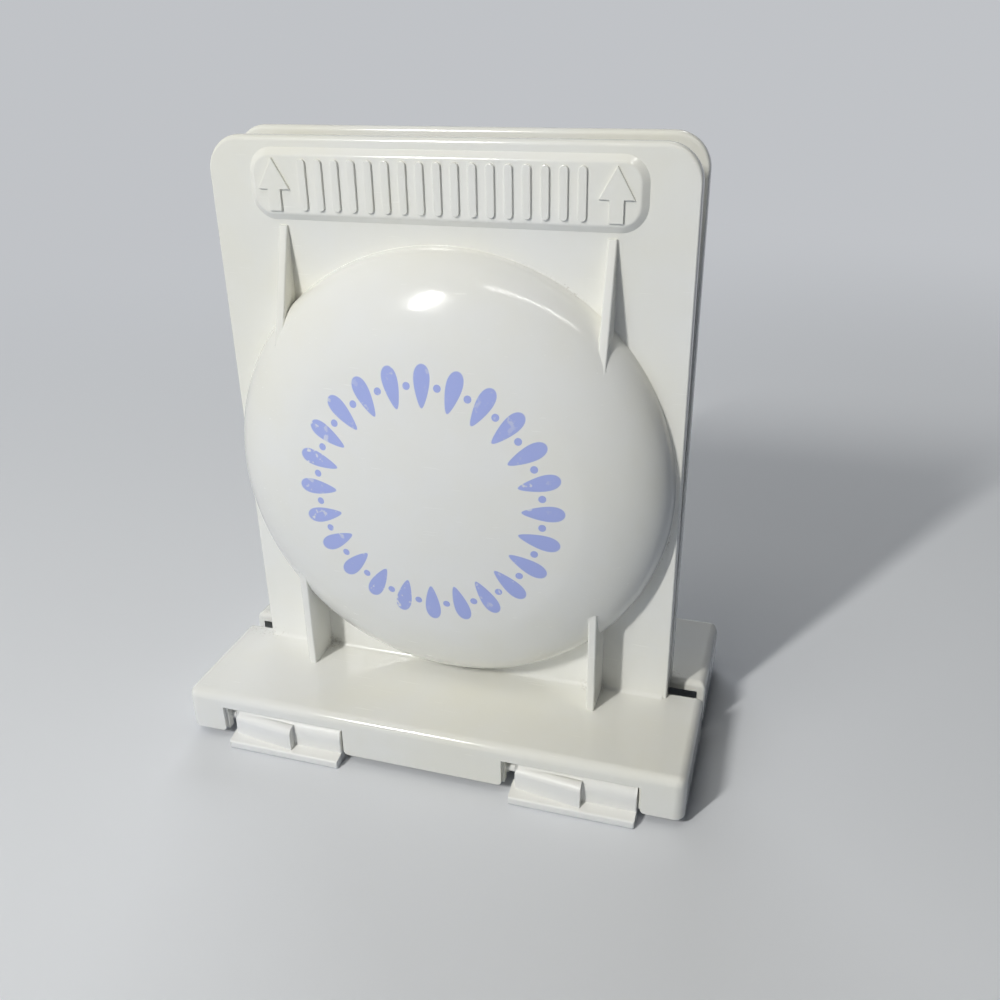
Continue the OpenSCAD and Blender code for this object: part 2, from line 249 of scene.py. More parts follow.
# %% Notches for the links
notch_x = 49.4
notch_half = 22.1
notch_top = 13.3
notch_corner_r = 1.5
rim_r = 0.35

for side in (-1, 1):
    notch = block("notch", (side * notch_x - notch_half, -outer_y - 1, 0),
                  (side * notch_x + notch_half, -outer_y + wall + 0.5, notch_top))
    combine(base, notch, "DIFFERENCE")


def notch_corner(a, b):
    across = near(a.z, skirt_low) and near(b.z, skirt_low) and near(a.x, b.x)
    return across and near(abs(abs(a.x) - notch_x), notch_half) and max(a.y, b.y) < -outer_y + wall + 1


def rim_edge(a, b):
    level = near(a.z, skirt_low) and near(b.z, skirt_low)
    notch_edge = near(a.y, -outer_y) and near(b.y, -outer_y) and max(a.z, b.z) < notch_top + 0.1
    return level or notch_edge


picked = edit_edges(base, notch_corner)
bpy.ops.mesh.bevel(offset=notch_corner_r * MM, segments=4, affect="EDGES")
leave_edit()
edit_edges(base, rim_edge)
bpy.ops.mesh.bevel(offset=rim_r * MM, segments=2, affect="EDGES", clamp_overlap=True)
leave_edit()
print("notch corners:", picked, "base:", len(base.data.polygons), "faces")

# %% [markdown]
# Inside each notch two cheeks carry the hinge pin. The pin snaps from below into a round saddle with a
# narrower mouth. A rib behind the lip stands on each link. The cheek is modelled once and copied, because
# four equal cheeks that were made one by one would soon differ.

# %% Sizes of the cheeks
hinge_y = outer_y - 5
hinge_z = 7.8
pin_r = 1.5
cheek_t = 3
cheek_inside = 21.4
cheek_x = cheek_inside + cheek_t / 2
cheek_back = 6
saddle_half = 0.8 * pin_r
foot_rib_half = 15
foot_rib_low = 3.3

# %% Hinge cheeks and foot ribs
cheek = block("cheek", (-cheek_t / 2, -outer_y + wall / 2, skirt_low + 0.5),
              (cheek_t / 2, -hinge_y + cheek_back, roof + 0.3))
bpy.ops.mesh.primitive_cylinder_add(vertices=32, radius=(pin_r + hair) * MM, depth=2 * cheek_t * MM,
                                    location=(0, -hinge_y * MM, hinge_z * MM), rotation=(0, math.pi / 2, 0))
combine(cheek, bpy.context.active_object, "DIFFERENCE")
mouth = block("mouth", (-cheek_t, -hinge_y - saddle_half, 0), (cheek_t, -hinge_y + saddle_half, hinge_z))
combine(cheek, mouth, "DIFFERENCE")
for side in (-1, 1):
    for end in (-1, 1):
        combine(base, copy_of(cheek, "cheek", moved(x=side * notch_x + end * cheek_x)), "UNION")
    rib = block("rib", (side * notch_x - foot_rib_half, -inner_y - wall - hair, foot_rib_low),
                (side * notch_x + foot_rib_half, -inner_y - 2 * hair, lip_low + 1))
    combine(base, rib, "UNION")
bpy.data.objects.remove(cheek)
print("with cheeks and ribs:", len(base.data.polygons), "faces")

# %% [markdown]
# The plate is a tall flat wall with two large round corners at the top. Its top edge is rounded on both
# faces, its sides only a little, and in between the radius changes along the corner, as a polished mould
# does it. The corners are bevelled in edit mode first, and the rim by weight after that.

# %% Upright plate
plate_corner_r = 10.5
plate_top_r = 1.6
plate_side_r = 0.6
plate_low = base_top - 2.5


def top_corner(a, b):
    return near(a.x, b.x) and near(a.z, plate_top) and near(b.z, plate_top)


def plate_radius(a, b):
    along_rim = near(a.y, b.y) and min(a.z, b.z) > plate_low + 0.1
    side_edge = near(a.y, b.y) and near(a.x, b.x)
    if not along_rim and not side_edge:
        return 0
    height = (a.z + b.z) / 2
    share = min(max((height - plate_top + plate_corner_r) / plate_corner_r, 0), 1)
    return plate_side_r if side_edge else plate_side_r + (plate_top_r - plate_side_r) * share


plate = block("plate", (-plate_half, -plate_y, plate_low), (plate_half, -inner_y, plate_top))
edit_edges(plate, top_corner)
bpy.ops.mesh.bevel(offset=plate_corner_r * MM, segments=14, affect="EDGES")
leave_edit()
round_edges(plate, 4, plate_radius)
print("plate:", len(plate.data.polygons), "faces")

# %% [markdown]
# A small hollow fillet runs along the foot of the plate. It is a square bar from which a round bar is cut,
# which is how a ball cutter leaves it in the mould.

# %% Fillet at the foot of the plate
foot_r = 1.4
sunk = 0.6

fillet = block("fillet", (-plate_half + foot_r, -plate_y - foot_r, base_top - sunk),
               (plate_half - foot_r, -plate_y + sunk, base_top + foot_r))
bpy.ops.mesh.primitive_cylinder_add(vertices=64, radius=foot_r * MM, depth=2.2 * plate_half * MM,
                                    location=(0, (-plate_y - foot_r) * MM, (base_top + foot_r) * MM),
                                    rotation=(0, math.pi / 2, 0))
combine(fillet, bpy.context.active_object, "DIFFERENCE")
combine(plate, fillet, "UNION")
combine(plate, base, "UNION")
print("plate on base:", len(plate.data.polygons), "faces")

# %% [markdown]
# The dome holds one side of the bagel. Its shoulder is squarer than an ellipse, and its crown is a much
# flatter cap with a soft line where it starts. A lathe would turn such a shape, and here a circle is
# extruded and scaled ring by ring, which keeps the rings where the curve needs them.

# %% Dome outline
dome_r = 71.6
dome_z = base_top + 2.4 + dome_r
dome_rise = 24
dome_square = 2.3
dome_foot_r = 0.35
crown_r = 47.5
crown_rise = 4.2
crown_blend = 0.9
crown_rings = 12
pole_r = 1.2
ring_degrees = 3
ring_gap = 0.25


def shoulder_depth(r, full_r):
    return dome_rise * max(1 - (r / full_r) ** dome_square, 0) ** (1 / dome_square)


def shoulder(full_r, from_depth, to_r):
    """Rings of the shoulder, as radius and depth, from the plate to the edge of the crown."""
    rings = []
    for degrees in range(0, 90, ring_degrees):
        a = math.radians(degrees)
        r = full_r * math.cos(a) ** (2 / dome_square)
        depth = dome_rise * math.sin(a) ** (2 / dome_square)
        if depth > from_depth + ring_gap and r > to_r + crown_blend + 0.6:
            rings.append((r, depth))
    rings.append((to_r + crown_blend, shoulder_depth(to_r + crown_blend, full_r)))
    return rings


def crown(edge_r, edge_depth):
    """Rings of the crown, a shallow cap of a sphere."""
    cap_r = (edge_r ** 2 + crown_rise ** 2) / (2 * crown_rise)
    even = [edge_r * k / crown_rings for k in range(crown_rings - 1, 0, -1)]
    radii = [edge_r - crown_blend] + even + [pole_r]
    return [(r, edge_depth + crown_rise - cap_r + math.sqrt(cap_r ** 2 - r ** 2)) for r in radii]


print("shoulder depth at the crown:", round(shoulder_depth(crown_r, dome_r), 2))

# %% [markdown]
# A turned piece could be spun about its axis, but a spin leaves a seam and a pole to close. Extruding a
# circle ring by ring has neither: each new ring is moved and scaled, and the last one is merged to a point.

# %% Turned solid
weld = 0.002


def turned_solid(name, rings, start_y, segments=160):
    """Extrudes a circle along -Y from ring to ring, where a ring is a radius and a depth."""
    bpy.ops.object.select_all(action="DESELECT")
    first_r, first_depth = rings[0]
    bpy.ops.mesh.primitive_circle_add(vertices=segments, radius=first_r * MM, fill_type="NGON",
                                      location=(0, (start_y - first_depth) * MM, dome_z * MM),
                                      rotation=(math.pi / 2, 0, 0))
    bpy.ops.object.transform_apply(location=True, rotation=True, scale=True)
    obj = bpy.context.active_object
    obj.name = name
    bpy.ops.object.mode_set(mode="EDIT")
    bpy.ops.mesh.select_mode(type="VERT")
    bpy.ops.mesh.select_all(action="SELECT")
    for (r0, depth0), (r1, depth1) in zip(rings, rings[1:]):
        bpy.ops.mesh.extrude_region_move(TRANSFORM_OT_translate={"value": (0, (depth0 - depth1) * MM, 0)})
        bpy.ops.transform.resize(value=(r1 / r0, 1, r1 / r0), center_override=(0, 0, dome_z * MM))
    bpy.ops.mesh.merge(type="CENTER")
    bpy.ops.mesh.select_all(action="SELECT")
    bpy.ops.mesh.remove_doubles(threshold=weld * MM)
    bpy.ops.mesh.normals_make_consistent(inside=False)
    bpy.ops.object.mode_set(mode="OBJECT")
    return obj


# %% Dome outside and inside
foot_turns = [math.radians(degrees) for degrees in range(270, 175, -15)]
foot_arc = [(dome_r + dome_foot_r * (1 + math.cos(a)), dome_foot_r * (1 + math.sin(a)) - hair)
            for a in foot_turns]
outside = ([(dome_r + dome_foot_r, -sunk)] + foot_arc + shoulder(dome_r, dome_foot_r, crown_r)
           + crown(crown_r, shoulder_depth(crown_r, dome_r)))
inside_r = dome_r - wall
inside_edge = crown_r - wall / 3
rim = plate_y - inner_y - wall
inside = ([(inside_r, -1), (inside_r, rim)]
          + [(r, depth + rim) for r, depth in shoulder(inside_r, 0, inside_edge)]
          + [(r, depth + rim) for r, depth in crown(inside_edge, shoulder_depth(inside_edge, inside_r))])
dome = turned_solid("dome", outside, -plate_y)
dome_hollow = turned_solid("dome_hollow", inside, -inner_y)
print("dome rings:", len(outside), "hollow rings:", len(inside))

# %% [markdown]
# Four thin webs, called gussets, brace the plate. The two lower ones are upright walls that run from the
# base into the dome. The two upper ones start as a low rib under the panel and widen down to the dome.
# Each is a cube, and for the upper ones the top outer edge is pushed back towards the plate.

# %% Gussets
gusset_x = 50
gusset_half = 1.35
low_reach = 13.2
top_reach = 12.7
panel_z = plate_top - 13.5
panel_half_h = 10.3
gusset_tip = panel_z - panel_half_h - 1.6
gusset_foot = math.sqrt(dome_r ** 2 - gusset_x ** 2)
gusset_run = 14
gusset_tip_reach = 0.8
gusset_edge_r = 0.55


def outer_edges(a, b):
    along_z = near(a.x, b.x) and abs(a.z - b.z) > 1
    return gusset_edge_r if along_z and max(a.y, b.y) < -plate_y - 0.1 else 0


lower_gusset = block("lower_gusset", (-gusset_half, -plate_y - low_reach, base_top - sunk),
                     (gusset_half, -plate_y + sunk, dome_z - gusset_foot + gusset_run))
round_edges(lower_gusset, 3, outer_edges)
upper_gusset = block("upper_gusset", (-gusset_half, -plate_y - top_reach, dome_z + gusset_foot - gusset_run),
                     (gusset_half, -plate_y + sunk, gusset_tip))


def outer_tip(a, b):
    return near(a.z, gusset_tip) and near(b.z, gusset_tip) and max(a.y, b.y) < -plate_y - 1


edit_edges(upper_gusset, outer_tip)
bpy.ops.transform.translate(value=(0, (top_reach - gusset_tip_reach) * MM, 0))
leave_edit()
round_edges(upper_gusset, 3, outer_edges)
for side in (-1, 1):
    for gusset in (lower_gusset, upper_gusset):
        combine(plate, copy_of(gusset, "gusset", moved(x=side * gusset_x)), "UNION")
bpy.data.objects.remove(lower_gusset)
bpy.data.objects.remove(upper_gusset)
print("with gussets:", len(plate.data.polygons), "faces")

# %% [markdown]
# The panel above the dome is where a hand holds the plate. It stands out by 1.5 mm with a bevel all round.
# The bevel is one inset of the front face with a depth. A plain row of ribs lies between two arrows.

# %% Grip panel
panel_half_w = 59.5
panel_r = 7.5
panel_rise = 1.5
panel_bevel = 2
panel_edge_r = 0.45
panel_face = -plate_y - panel_rise

panel = block("panel", (-panel_half_w, -plate_y - hair, panel_z - panel_half_h),
              (panel_half_w, -plate_y + sunk, panel_z + panel_half_h))
edit_edges(panel, lambda a, b: near(a.x, b.x) and near(a.z, b.z))
bpy.ops.mesh.bevel(offset=panel_r * MM, segments=10, affect="EDGES")
leave_edit()
edit_faces(panel, lambda centre, normal: normal.y < -0.9)
bpy.ops.mesh.inset(thickness=panel_bevel * MM, depth=panel_rise * MM)
leave_edit()
edit_edges(panel, lambda a, b: near(a.y, panel_face) and near(b.y, panel_face))
bpy.ops.mesh.bevel(offset=panel_edge_r * MM, segments=3, affect="EDGES")
leave_edit()
print("panel:", len(panel.data.polygons), "faces")

# %% [markdown]
# The relief on the panel helps fingers to grip it and shows which way the plates lift. A rib is a bar with
# round ends, and an arrow is a block whose top is pinched to a point, with a stem below it. Each is modelled
# once and copied, and a last small bevel eases the raised face, as polishing does to a mould.

# %% Sizes of the relief
rib_count = 17
rib_pitch = 5.2
rib_half_w = 1.2
rib_half_len = 7.3
relief = 0.8
relief_edge_r = 0.3
arrow_half_w = 5
arrow_half_h = 7.5
arrow_head_h = 8.8
stem_half_w = 2
arrow_margin = 1.5
arrow_x = panel_half_w - panel_bevel - arrow_half_w - arrow_margin
short = 0.05  # what a bevel stays short of its neighbour


def upright_edges(radius):
    return lambda a, b: radius if near(a.x, b.x) and near(a.z, b.z) else 0


def ease_top(obj):
    """Rounds the rim of the raised face a little."""
    face_y = min(v.co.y for v in obj.data.vertices) / MM
    round_edges(obj, 2, lambda a, b: relief_edge_r if near(a.y, face_y) and near(b.y, face_y) else 0)


# %% Rib
rib = block("rib", (-rib_half_w, panel_face - relief, panel_z - rib_half_len),
            (rib_half_w, panel_face + sunk, panel_z + rib_half_len))
round_edges(rib, 6, upright_edges(rib_half_w - short))
ease_top(rib)
print("rib:", len(rib.data.polygons), "faces")

# %% Arrow
head_z = panel_z + arrow_half_h - arrow_head_h
arrow = block("arrow", (-arrow_half_w, panel_face - relief, head_z),
              (arrow_half_w, panel_face + sunk, panel_z + arrow_half_h))
edit_edges(arrow, lambda a, b: near(a.z, panel_z + arrow_half_h) and near(b.z, a.z) and near(a.x, b.x))
bpy.ops.transform.resize(value=(0.001, 1, 1), center_override=(0, 0, 0))
bpy.ops.mesh.select_all(action="SELECT")
bpy.ops.mesh.remove_doubles(threshold=0.02 * MM)
leave_edit()
stem = block("stem", (-stem_half_w, panel_face - relief, panel_z - arrow_half_h),
             (stem_half_w, panel_face + sunk, head_z + 0.4))
combine(arrow, stem, "UNION")
ease_top(arrow)
print("arrow:", len(arrow.data.polygons), "faces")

# %% Relief on the panel
for k in range(rib_count):
    combine(panel, copy_of(rib, "rib", moved(x=(k - (rib_count - 1) / 2) * rib_pitch)), "UNION")
for side in (-1, 1):
    combine(panel, copy_of(arrow, "arrow", moved(x=side * arrow_x)), "UNION")
bpy.data.objects.remove(rib)
bpy.data.objects.remove(arrow)
combine(plate, panel, "UNION")
print("with panel:", len(plate.data.polygons), "faces")

# %% [markdown]
# Now the dome joins the plate, and its hollow is cut through both from the gap side. The mesh is cleaned,
# and a Weighted Normal modifier lets the large flat faces keep their shading while the small bevel faces
# carry the turn. That is what makes a bevel look like a rounded edge.

# %% Cleaning helpers
clean_weld = 0.004
smooth_degrees = 32
face_weight = 60


def clean(obj):
    only(obj)
    bpy.ops.object.mode_set(mode="EDIT")
    bpy.ops.mesh.select_all(action="SELECT")
    bpy.ops.mesh.remove_doubles(threshold=clean_weld * MM)
    bpy.ops.mesh.dissolve_degenerate(threshold=weld * MM)
    bpy.ops.mesh.delete_loose()
    bpy.ops.object.mode_set(mode="OBJECT")


def smooth(obj):
    only(obj)
    bpy.ops.object.shade_smooth_by_angle(angle=math.radians(smooth_degrees))
    weighted = obj.modifiers.new("weighted", "WEIGHTED_NORMAL")
    weighted.keep_sharp = True
    weighted.weight = face_weight
    apply_modifiers(obj)


def open_edges(obj):
    """How many edges don't have exactly two faces."""
    uses = {}
    for face in obj.data.polygons:
        for key in face.edge_keys:
            uses[key] = uses.get(key, 0) + 1
    return sum(count != 2 for count in uses.values())


# %% One moulding
combine(plate, dome, "UNION")
combine(plate, dome_hollow, "DIFFERENCE")
clean(plate)
print("moulding:", len(plate.data.polygons), "faces,", open_edges(plate), "open edges")
smooth(plate)

# %% [markdown]
# The rear moulding is the same part turned half round. In the photograph it stands out a little on its
# hinge, so its copy is turned about the rear hinge axis by that small angle.

# %% Front and rear mouldings
front_moulding = plate
front_moulding.name = "front_moulding"
hinge_point = Vector((0, hinge_y, hinge_z)) * MM
lean = (Matrix.Translation(hinge_point) @ Matrix.Rotation(-rear_lean, 4, "X")
        @ Matrix.Translation(-hinge_point))
rear_moulding = copy_of(front_moulding, "rear_moulding", lean @ Matrix.Rotation(math.pi, 4, "Z"))
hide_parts("front_holder")
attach(front_moulding, "front_half")
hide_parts("rear_holder")
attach(rear_moulding, "rear_half")
print("rear moulding leans by", round(math.degrees(rear_lean), 1), "degrees")

# %% [markdown]
# A link is a flat strap under both bases. Each end is a foot: a low toe with a sloping top, a rounded eye
# that the pin runs through, and a ramp that leaves the eye's face at the left and ends in a step. The
# notch's upper edge comes down on that ramp when the moulding has swung out. One end is modelled, and
# its copy is turned half round.

# %% Link sizes
link_half = 20
link_t = 3
link_shift = 1.1
toe_y = outer_y + 3.8
toe_h = 2.8
ledge_z = 4.4
nose_r = 0.6
toe_side_r = 0.4
eye_r = 5
eye_left = -link_half + 1.2
eye_side_r = 1.2
eye_low_r = 0.5
pin_play = 0.08
ramp_reach = 2.6
ramp_len = 21.6
ramp_top = hinge_z + 3.4

# %% One end of a link
def toe_radius(a, b):
    if near(a.y, -toe_y) and near(b.y, -toe_y):
        return nose_r
    if near(a.x, b.x) and max(a.y, b.y) < -outer_y + 1:
        return toe_side_r
    return 0


def eye_radius(a, b):
    high = near(a.z, hinge_z + eye_r) and near(b.z, hinge_z + eye_r)
    if high and near(a.y, b.y):
        return eye_r - short
    if high and near(a.x, b.x):
        return eye_side_r
    return eye_low_r if near(a.x, b.x) and near(a.y, b.y) else 0


foot = block("foot", (-link_half, -toe_y, 0), (link_half, -outer_y + 3, ledge_z))
edit_edges(foot, lambda a, b: near(a.y, -toe_y) and near(b.y, a.y) and near(a.z, ledge_z) and near(b.z, a.z))
bpy.ops.transform.translate(value=(0, 0, (toe_h - ledge_z) * MM))
leave_edit()
round_edges(foot, 3, toe_radius)
eye = block("eye", (eye_left, -hinge_y - eye_r, 0.5), (link_half - hair, -hinge_y + eye_r, hinge_z + eye_r))
round_edges(eye, 8, eye_radius)
combine(foot, eye, "UNION")
print("foot with its eye:", len(foot.data.polygons), "faces")

# %% [markdown]
# The ramp is a bar with a round top edge, turned a few degrees so that it sinks into the eye at one end,
# and clipped at its step. It is the same trick as a wedge cut from a rounded rail.

# %% Stop ramp and eye bore
ramp_turn = Matrix.Rotation(-math.atan(ramp_reach / ramp_len), 4, "Z")
step_x = eye_left + ramp_len


def ramp_radius(a, b):
    top = near(a.z, ramp_top) and near(b.z, ramp_top)
    return ramp_reach - 2 * short if top and near(a.y, b.y) else 0


ramp = block("ramp", (-2 * ramp_len, -ramp_reach, 0.8), (ramp_len, ramp_reach, ramp_top))
round_edges(ramp, 6, ramp_radius)
ramp.data.transform(moved(x=step_x, y=-hinge_y - eye_r) @ ramp_turn)
clip = block("clip", (eye_left + 0.1, -toe_y - 1, 0.6), (step_x, -hinge_y, ramp_top + 1))
combine(ramp, clip, "INTERSECT")
combine(foot, ramp, "UNION")
bpy.ops.mesh.primitive_cylinder_add(vertices=48, radius=(pin_r + pin_play) * MM, depth=3 * link_half * MM,
                                    location=(0, -hinge_y * MM, hinge_z * MM), rotation=(0, math.pi / 2, 0))
combine(foot, bpy.context.active_object, "DIFFERENCE")
print("foot with its ramp and bore:", len(foot.data.polygons), "faces")

# %% [markdown]
# A strap joins the two feet of a link, and its flat underside is what the holder stands on. The strap is
# modelled once too: the second link is the same one further along, because both came from one mould.

# %% Both links
strap = block("strap", (-link_half, -outer_y + 1, 0), (link_half, outer_y - 1, link_t))
combine(strap, copy_of(foot, "rear_foot", Matrix.Rotation(math.pi, 4, "Z")), "UNION")
combine(strap, foot, "UNION")
clean(strap)
print("link:", len(strap.data.polygons), "faces,", open_edges(strap), "open edges")
smooth(strap)
for name, side in (("left", -1), ("right", 1)):
    link = copy_of(strap, name + "_link_strap", moved(x=side * notch_x + link_shift))
    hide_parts(name + "_link")
    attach(link, "links")
bpy.data.objects.remove(strap)

# %% [markdown]
# From here on the lesson is about finish. The plastic is glossy but old: its tone drifts from ivory to a
# faint yellow, the gloss has a slight orange peel from the mould, and there are hairline scuffs. All of
# this could be painted, but noise on Object coordinates has no seams and keeps its scale in millimetres.
# Each effect is a node group, so that the mouldings, links and pins can share it with their own values.
# The helpers below only save typing: each adds one node, links what it is given, and returns its output.

# %% Node helpers
def connect(tree, value, socket):
    if isinstance(value, bpy.types.NodeSocket):
        tree.links.new(value, socket)
    else:
        socket.default_value = value


def math_node(tree, operation, *values):
    node = tree.nodes.new("ShaderNodeMath")
    node.operation = operation
    for socket, value in zip(node.inputs, values):
        connect(tree, value, socket)
    return node.outputs[0]


def noise(tree, vector, scale, detail=2.0, distortion=0.0):
    """Noise from 0 to 1, with its scale given as features per metre."""
    node = tree.nodes.new("ShaderNodeTexNoise")
    connect(tree, vector, node.inputs["Vector"])
    node.inputs["Scale"].default_value = scale
    node.inputs["Detail"].default_value = detail
    node.inputs["Distortion"].default_value = distortion
    return node.outputs[0]


def ramp_between(tree, value, low, high):
    """A soft step that is 0 at low and 1 at high."""
    node = tree.nodes.new("ShaderNodeMapRange")
    node.interpolation_type = "SMOOTHSTEP"
    connect(tree, value, node.inputs["Value"])
    node.inputs["From Min"].default_value = low
    node.inputs["From Max"].default_value = high
    return node.outputs["Result"]


def blend(tree, factor, first, second, kind="MIX"):
    """Blends two colours."""
    node = tree.nodes.new("ShaderNodeMix")
    node.data_type = "RGBA"
    node.blend_type = kind
    for socket, value in zip((node.inputs[0], node.inputs[6], node.inputs[7]), (factor, first, second)):
        connect(tree, value, socket)
    return node.outputs[2]


def new_group(name, inputs, outputs):
    """A node group with named sockets, given as pairs of a name and a socket type."""
    tree = bpy.data.node_groups.new(name, "ShaderNodeTree")
    for label, kind in inputs:
        tree.interface.new_socket(label, in_out="INPUT", socket_type="NodeSocket" + kind)
    for label, kind in outputs:
        tree.interface.new_socket(label, in_out="OUTPUT", socket_type="NodeSocket" + kind)
    return tree, tree.nodes.new("NodeGroupInput").outputs, tree.nodes.new("NodeGroupOutput").inputs


# %% Helpers for places
def object_position(tree):
    """The Object coordinates, in metres."""
    return tree.nodes.new("ShaderNodeTexCoord").outputs["Object"]


def parts_of(tree, vector):
    """The x, y and z of a vector."""
    split = tree.nodes.new("ShaderNodeSeparateXYZ")
    tree.links.new(vector, split.inputs[0])
    return split.outputs


def distance(tree, first, second):
    """How far a point is, given two parts of its place."""
    squares = [math_node(tree, "POWER", part, 2) for part in (first, second)]
    return math_node(tree, "SQRT", math_node(tree, "ADD", *squares))


def fade(tree, away, reach):
    """0 beyond the first distance and 1 within the second, both in millimetres."""
    return ramp_between(tree, away, reach[0] * MM, reach[1] * MM)


# %% [markdown]
# Old white plastic is never one colour. Light turns it yellow in broad drifts, handling adds finer clouds
# and hair-thin scuffs, and a few dark specks were moulded in with it. One group holds all four, and its
# Ageing and Scuffs inputs say how much of them a piece shows.

# %% Values of the aged plastic
yellowed = (0.985, 0.97, 0.90, 1)
speck_colour = (0.30, 0.27, 0.22, 1)
drift_scale = 11
drift_share = 0.7
cloud_scale = 55
cloud_dulling = 0.06
speck_scale = 400
speck_depth = 0.55
scuff_dulling = 0.15
scuff_depth = 0.2
peel_scale = 230
stroke_stretch = (60, 1500, 1500)
stroke_turns = ((0.3, 0.7, 0.2), (0.2, -1.1, 0.5))


# %% Aged plastic group
def hairlines(tree, vector):
    """Short thin strokes in two directions, from noise that is stretched along one axis."""
    strokes = []
    for turn in stroke_turns:
        stretch = tree.nodes.new("ShaderNodeMapping")
        stretch.inputs["Rotation"].default_value = turn
        stretch.inputs["Scale"].default_value = stroke_stretch
        tree.links.new(vector, stretch.inputs["Vector"])
        strokes.append(ramp_between(tree, noise(tree, stretch.outputs[0], 1, 1), 0.72, 0.78))
    return math_node(tree, "MAXIMUM", *strokes)


def aged_plastic_group():
    inputs = (("Colour", "Color"), ("Roughness", "Float"), ("Ageing", "Float"), ("Scuffs", "Float"))
    outputs = (("Colour", "Color"), ("Roughness", "Float"), ("Height", "Float"))
    tree, given, result = new_group("aged_plastic", inputs, outputs)
    vector = object_position(tree)

    drift = ramp_between(tree, noise(tree, vector, drift_scale, 2), 0.38, 0.68)
    cloud = ramp_between(tree, noise(tree, vector, cloud_scale, 4), 0.35, 0.7)
    drifted = math_node(tree, "MULTIPLY", drift, drift_share)
    yellowing = math_node(tree, "MULTIPLY_ADD", cloud, 1 - drift_share, drifted)
    share = math_node(tree, "MULTIPLY", yellowing, given["Ageing"])
    tinted = blend(tree, share, given["Colour"], yellowed, "MULTIPLY")

    cells = tree.nodes.new("ShaderNodeTexVoronoi")
    tree.links.new(vector, cells.inputs["Vector"])
    cells.inputs["Scale"].default_value = speck_scale
    few = ramp_between(tree, cells.outputs["Color"], 0.945, 0.95)
    dot = ramp_between(tree, cells.outputs["Distance"], 0.13, 0.06)
    speck = math_node(tree, "MULTIPLY", math_node(tree, "MULTIPLY", dot, few), speck_depth)
    connect(tree, blend(tree, speck, tinted, speck_colour), result["Colour"])

    scuff = math_node(tree, "MULTIPLY", hairlines(tree, vector), given["Scuffs"])
    dulled = math_node(tree, "MULTIPLY_ADD", cloud, cloud_dulling, given["Roughness"])
    connect(tree, math_node(tree, "MULTIPLY_ADD", scuff, scuff_dulling, dulled), result["Roughness"])

    peel = noise(tree, vector, peel_scale, 1)
    connect(tree, math_node(tree, "MULTIPLY_ADD", scuff, -scuff_depth, peel), result["Height"])
    return tree


aged_plastic = aged_plastic_group()
print("group:", aged_plastic.name, len(aged_plastic.nodes), "nodes")

# %% [markdown]
# Crumbs and kitchen dust settle where a cloth can't reach: along the foot of the plate, around the rim of
# the dome, and most of all in the corners beside the lower gussets. This group finds the three places by
# distance, in a side view for the foot and in a front view for the rim, and breaks them up with fine noise.

# %% Settled dirt group
foot_reach = (4.2, 0.8)
rim_reach = (0.9, 0.2)
face_reach = (3.5, 1.0)
corner_reach = (6.0, 1.0)
crumb_scale = 1300
patch_scale = 34


def foot_and_rim(tree, x, y, z, foot_height):
    """How far a point is from the foot of the plate, and a band around the rim of the dome."""
    off_plate = math_node(tree, "SUBTRACT", math_node(tree, "ABSOLUTE", y), plate_y * MM)
    above_foot = math_node(tree, "SUBTRACT", z, foot_height)
    radius = distance(tree, x, math_node(tree, "SUBTRACT", z, dome_z * MM))
    past_rim = math_node(tree, "SUBTRACT", radius, (dome_r + 0.3) * MM)
    rim_band = fade(tree, math_node(tree, "ABSOLUTE", past_rim), rim_reach)
    rim_band = math_node(tree, "MULTIPLY", rim_band, fade(tree, off_plate, face_reach))
    return distance(tree, off_plate, above_foot), rim_band


def settled_dirt_group():
    inputs = (("Foot height", "Float"), ("Amount", "Float"))
    tree, given, result = new_group("settled_dirt", inputs, (("Mask", "Float"),))
    vector = object_position(tree)
    x, y, z = parts_of(tree, vector)
    off_foot, rim_band = foot_and_rim(tree, x, y, z, given["Foot height"])
    off_gusset = math_node(tree, "SUBTRACT", math_node(tree, "ABSOLUTE", x), (gusset_x - gusset_half) * MM)
    corner = fade(tree, distance(tree, off_gusset, off_foot), corner_reach)

    crumbs = noise(tree, vector, crumb_scale, 3)
    patches = ramp_between(tree, noise(tree, vector, patch_scale, 1), 0.54, 0.70)
    band = math_node(tree, "MAXIMUM", fade(tree, off_foot, foot_reach), rim_band)
    broken = math_node(tree, "MULTIPLY", band, patches)
    strewn = math_node(tree, "MULTIPLY", broken, ramp_between(tree, crumbs, 0.56, 0.70))
    packed = math_node(tree, "MULTIPLY", corner, ramp_between(tree, crumbs, 0.44, 0.62))
    mask = math_node(tree, "MULTIPLY", math_node(tree, "MAXIMUM", strewn, packed), given["Amount"])
    connect(tree, mask, result["Mask"])
    return tree


settled_dirt = settled_dirt_group()
print("group:", settled_dirt.name, len(settled_dirt.nodes), "nodes")

# %% [markdown]
# The crown of the front dome has a printed ring in a soft periwinkle. Here it is a plain ring of seeds
# with a dot between each two. Polar coordinates about the dome's middle repeat one seed as often as
# wanted, which is how a pattern for a turned piece is best described.

# %% Seed print group
seed_count = 24
seed_ring_r = 36.1
seed_half_len = 6.4
seed_half_w = 2.3
seed_taper = 0.28
dot_r = 1.15
oval_edge = (1.06, 0.94)
flake_scale = 420
rub_scale = 34


def oval(tree, along, across, half_along, half_across):
    """1 inside an oval and 0 outside, with a soft edge."""
    first = math_node(tree, "POWER", math_node(tree, "DIVIDE", along, half_along * MM), 2)
    second = math_node(tree, "POWER", math_node(tree, "DIVIDE", across, half_across * MM), 2)
    return ramp_between(tree, math_node(tree, "ADD", first, second), *oval_edge)


